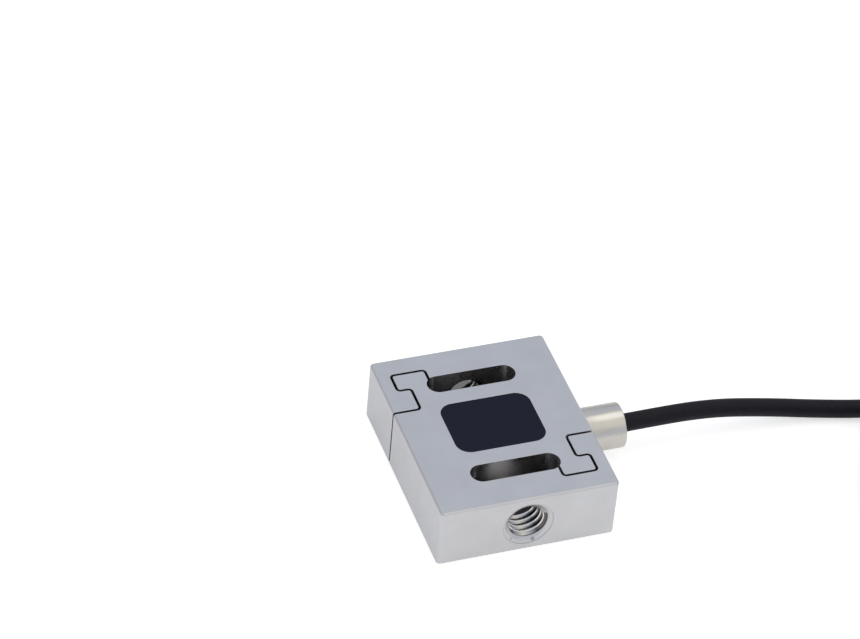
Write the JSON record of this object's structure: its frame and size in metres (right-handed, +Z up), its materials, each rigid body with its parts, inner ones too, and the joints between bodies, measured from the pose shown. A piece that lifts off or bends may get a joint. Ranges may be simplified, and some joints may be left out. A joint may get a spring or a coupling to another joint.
{
  "type": "miniature s-beam load cell",
  "caption": "Flat S-beam load cell: a steel block with slots, hook-shaped gaps and a sealed gauge window, tapped for M4 at each end, with a thin cable from a gland on its side.",
  "frame": {"origin": "middle of the body's lower face, which it lies on", "axes": "+X towards the cable gland, +Y along the load axis from one tapped hole to the other, +Z up through the thickness"},
  "size_m": [0.0755, 0.0478, 0.0076],
  "materials": {
    "body_steel": "fine satin ground",
    "seal_resin": "matte cast resin",
    "gland_nickel": "turned, nickel plated",
    "potting_resin": "cast resin",
    "board_laminate": "solder mask",
    "pad_copper": "tinned copper",
    "solder": "bright solder",
    "resistor_chip": "black overglaze",
    "gauge_film": "amber polyimide film",
    "gauge_foil": "etched foil",
    "lead_copper": "enamelled wire",
    "cable_jacket": "smooth, soft sheen",
    "tie_nylon": "satin",
    "sleeve_tubing": "shrunk tubing",
    "tinned_copper": "stranded, tinned",
    "insulation_red": "smooth",
    "insulation_black": "smooth",
    "insulation_green": "smooth",
    "insulation_white": "smooth"
  },
  "bodies": {
    "root": {"balance_resistor": "resistor_chip", "board_pads": "pad_copper", "board_solder": "solder", "cable_coil": "cable_jacket", "cable_gland": "gland_nickel", "cable_tail": "cable_jacket", "coil_tie": "tie_nylon", "core_black": "insulation_black", "core_green": "insulation_green", "core_red": "insulation_red", "core_white": "insulation_white", "gauge_backing_front_left": "gauge_film", "gauge_backing_front_right": "gauge_film", "gauge_backing_rear_left": "gauge_film", "gauge_backing_rear_right": "gauge_film", "gauge_foil_front_left": "gauge_foil", "gauge_foil_front_right": "gauge_foil", "gauge_foil_rear_left": "gauge_foil", "gauge_foil_rear_right": "gauge_foil", "gauge_leads_front_left": "lead_copper", "gauge_leads_front_right": "lead_copper", "gauge_leads_rear_left": "lead_copper", "gauge_leads_rear_right": "lead_copper", "gauge_solder": "solder", "gland_potting": "potting_resin", "lead_black": "insulation_black", "lead_green": "insulation_green", "lead_red": "insulation_red", "lead_tips": "tinned_copper", "lead_white": "insulation_white", "load_body": "body_steel", "shield_wire": "tinned_copper", "signal_cable": "cable_jacket", "span_resistor": "resistor_chip", "tail_sleeve": "sleeve_tubing", "terminal_board": "board_laminate", "window_seal_bottom": "seal_resin", "window_seal_top": "seal_resin"}
  },
  "joints": []
}
